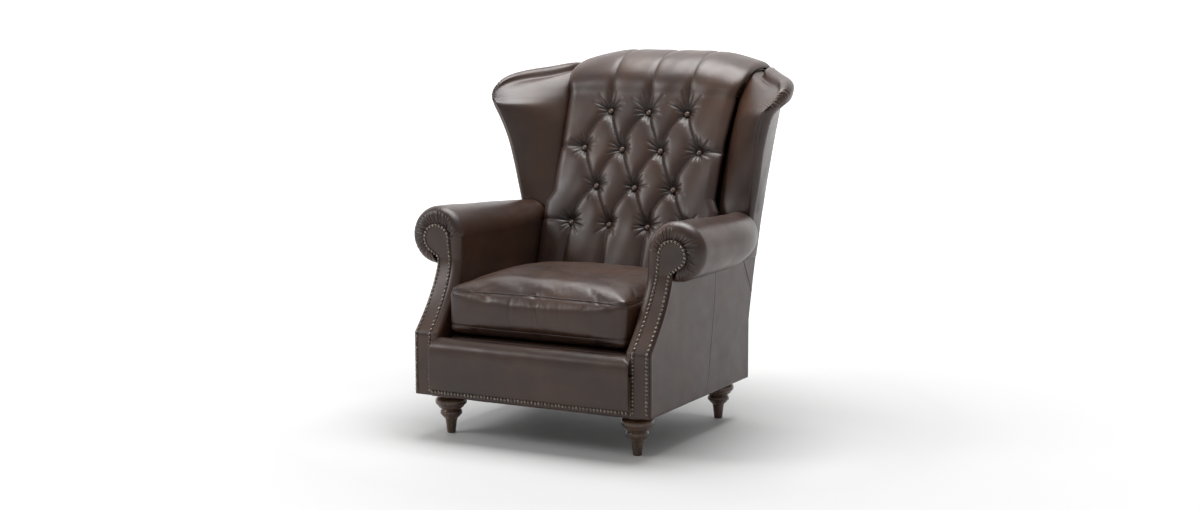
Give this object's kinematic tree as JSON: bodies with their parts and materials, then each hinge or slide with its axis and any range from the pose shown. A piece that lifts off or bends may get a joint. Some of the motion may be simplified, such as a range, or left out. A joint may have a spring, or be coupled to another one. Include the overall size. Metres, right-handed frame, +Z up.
{
  "type": "upholstered armchair",
  "caption": "Leather wing armchair with a buttoned back, rolled arms trimmed with nailheads, a loose seat cushion and turned wooden legs.",
  "frame": {"origin": "centre of the bounding box's bottom, on the floor between the legs", "axes": "+Z up, the sitter faces -Y, +X towards the sitter's left; the chair is symmetric about the YZ plane"},
  "size_m": [0.968, 1, 1.054],
  "materials": {
    "leather": "dark brown semi-gloss upholstery leather",
    "button_leather": "dark brown leather, pulled tight over button moulds",
    "frame_wood": "raw sawn beech",
    "leg_wood": "turned, walnut-stained and satin varnished",
    "spring_steel": "drawn wire",
    "nail_bronze": "antiqued bronze nailheads",
    "foam": "cut foam",
    "lining": "black woven lining"
  },
  "bodies": {
    "chair": {"seat_deck": "leather", "front_border": "leather", "inside_back": "leather", "outside_back": "leather", "inside_arm_left": "leather", "inside_arm_right": "leather", "outside_arm_left": "leather", "outside_arm_right": "leather", "arm_facing_left": "leather", "arm_facing_right": "leather", "inside_wing_left": "leather", "inside_wing_right": "leather", "outside_wing_left": "leather", "outside_wing_right": "leather", "button_01": "button_leather", "button_02": "button_leather", "button_03": "button_leather", "button_04": "button_leather", "button_05": "button_leather", "button_06": "button_leather", "button_07": "button_leather", "button_08": "button_leather", "button_09": "button_leather", "button_10": "button_leather", "button_11": "button_leather", "button_12": "button_leather", "button_13": "button_leather", "button_14": "button_leather", "front_rail": "frame_wood", "rear_rail": "frame_wood", "back_top_rail": "frame_wood", "back_lower_rail": "frame_wood", "side_rail_left": "frame_wood", "side_rail_right": "frame_wood", "arm_post_left": "frame_wood", "arm_post_right": "frame_wood", "back_post_left": "frame_wood", "back_post_right": "frame_wood", "arm_rail_left": "frame_wood", "arm_rail_right": "frame_wood", "wing_rail_left": "frame_wood", "wing_rail_right": "frame_wood", "corner_block_front_left": "frame_wood", "corner_block_front_right": "frame_wood", "corner_block_rear_left": "frame_wood", "corner_block_rear_right": "frame_wood", "leg_front_left": "leg_wood", "leg_front_right": "leg_wood", "leg_rear_left": "leg_wood", "leg_rear_right": "leg_wood", "seat_spring_1": "spring_steel", "seat_spring_2": "spring_steel", "seat_spring_3": "spring_steel", "seat_spring_4": "spring_steel", "nail_trim_arm_left": "nail_bronze", "nail_trim_arm_right": "nail_bronze", "nail_trim_front": "nail_bronze", "dust_cover": "lining"},
    "cushion": {"seat_cushion_cover": "leather", "seat_cushion_foam": "foam"}
  },
  "joints": [
    {"name": "seat_cushion_lift", "type": "slide", "parent": "chair", "child": "cushion", "axis": [0, -0.5, 0.866], "range_m": [0, 0.4]}
  ]
}
